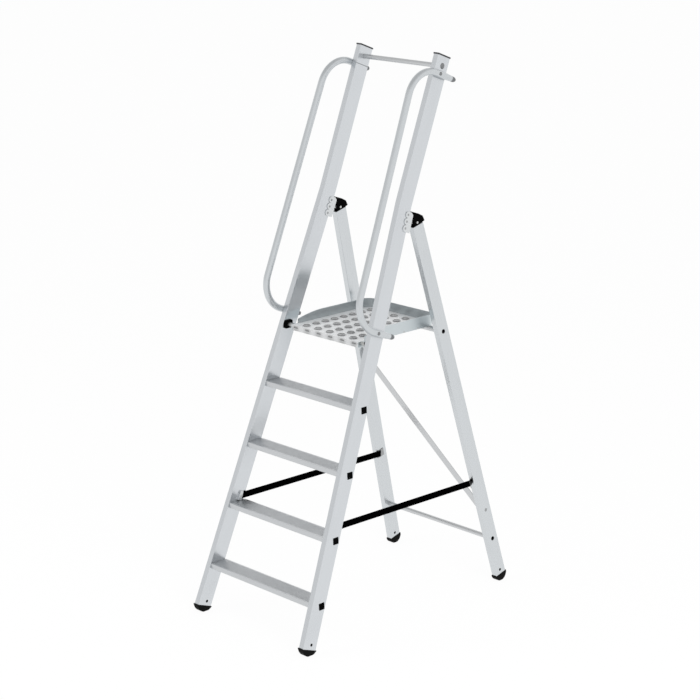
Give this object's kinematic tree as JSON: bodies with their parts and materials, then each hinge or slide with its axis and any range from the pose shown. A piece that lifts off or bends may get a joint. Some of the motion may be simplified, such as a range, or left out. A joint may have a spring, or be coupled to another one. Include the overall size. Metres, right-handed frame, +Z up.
{
  "type": "folding platform step ladder",
  "caption": "Folding aluminium platform step ladder with leaning treads, tall guard stiles, two handrails, a perforated deck with a toe board and a hinged rear frame.",
  "frame": {"origin": "on the floor, at the centre of the footprint of the open ladder", "axes": "+X to the climber's right, +Y from the front stiles to the rear legs, +Z up"},
  "size_m": [0.647, 1.1744, 2.232],
  "materials": {
    "profile": "satin extruded aluminium",
    "tread": "grooved extruded aluminium",
    "sheet": "mill finish aluminium sheet",
    "tube": "satin drawn aluminium",
    "casting": "cast aluminium",
    "zinc_steel": "zinc plated steel",
    "black_steel": "blackened steel",
    "black_plastic": "moulded black plastic",
    "grey_plastic": "moulded grey plastic",
    "rubber": "black rubber",
    "webbing": "woven black webbing"
  },
  "bodies": {
    "front_frame": {"stile_left": "profile", "stile_right": "profile", "stile_caps": "grey_plastic", "tread_1": "tread", "tread_2": "tread", "tread_3": "tread", "tread_4": "tread", "tread_plugs": "black_plastic", "front_foot_left": "rubber", "front_foot_right": "rubber", "front_foot_screws": "black_steel", "top_bar": "tube", "top_bar_screws": "black_steel", "handrail_left": "tube", "handrail_right": "tube", "handrail_bolts": "black_steel", "handrail_end_plugs": "grey_plastic", "hinge_bracket_left": "casting", "hinge_bracket_right": "casting", "hinge_rivets": "zinc_steel", "hinge_pins": "zinc_steel", "pivot_block_left": "black_plastic", "pivot_block_right": "black_plastic", "pivot_pins": "zinc_steel", "strap_clips": "casting", "strap_rivets": "zinc_steel", "strap_left": "webbing", "strap_right": "webbing"},
    "platform": {"deck": "sheet", "toe_board": "sheet", "platform_rivets": "zinc_steel"},
    "rear_frame": {"rear_leg_left": "profile", "rear_leg_right": "profile", "hinge_head_left": "black_plastic", "hinge_head_right": "black_plastic", "rest_tube": "tube", "rest_tube_bolts": "black_plastic", "lower_crossbar": "tube", "crossbar_bolts": "black_plastic", "diagonal_brace": "tube", "brace_rivets": "zinc_steel", "rear_foot_left": "rubber", "rear_foot_right": "rubber", "rear_foot_screws": "black_steel", "strap_anchors": "zinc_steel", "anchor_rivets": "zinc_steel"}
  },
  "joints": [
    {"name": "rear_frame_fold", "type": "hinge", "parent": "front_frame", "child": "rear_frame", "pos_m": [0, 0.12805, 1.58291], "axis": [-1, 0, 0], "range_deg": [0, 30], "deforming": ["strap_left", "strap_right"]},
    {"name": "platform_fold", "type": "hinge", "parent": "front_frame", "child": "platform", "pos_m": [0, -0.14218, 1.1405], "axis": [1, 0, 0], "range_deg": [0, 69]}
  ]
}
